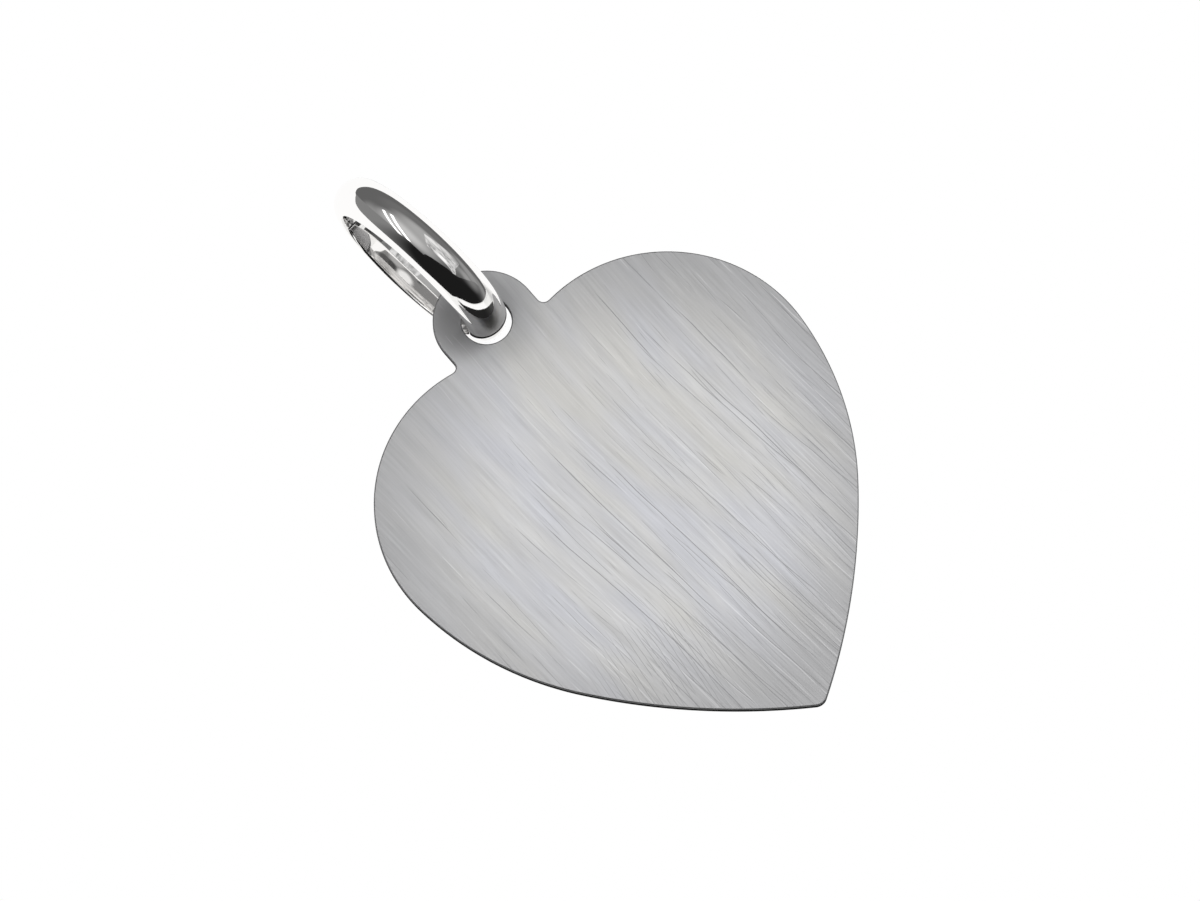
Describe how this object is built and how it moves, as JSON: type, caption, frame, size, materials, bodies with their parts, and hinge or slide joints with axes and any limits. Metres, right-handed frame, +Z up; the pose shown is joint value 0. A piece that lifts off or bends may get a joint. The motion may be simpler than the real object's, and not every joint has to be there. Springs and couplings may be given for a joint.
{
  "type": "engravable heart pendant",
  "caption": "Flat brushed heart blank for engraving, hung by its pierced ear from a polished oval ring that takes a necklace chain.",
  "frame": {"origin": "the place inside the top of the ring where a chain bears", "axes": "+Z up along the plumb heart, from its tip to its ear; -Y out of the engraving face; +X to the right as the engraving face is looked at"},
  "size_m": [0.02, 0.0058, 0.0293],
  "materials": {
    "polished_ring": "polished to a mirror all round",
    "brushed_plate": "fine straight brushing, nearly along the heart's length"
  },
  "bodies": {
    "ring": {"bail_ring": "polished_ring"},
    "heart": {"heart_plate": "brushed_plate"}
  },
  "joints": [
    {"name": "heart_swing", "type": "hinge", "parent": "ring", "child": "heart", "pos_m": [0.00111, 0.00145, -0.00691], "axis": [0, 1, 0], "range_deg": [-101, 83]}
  ]
}
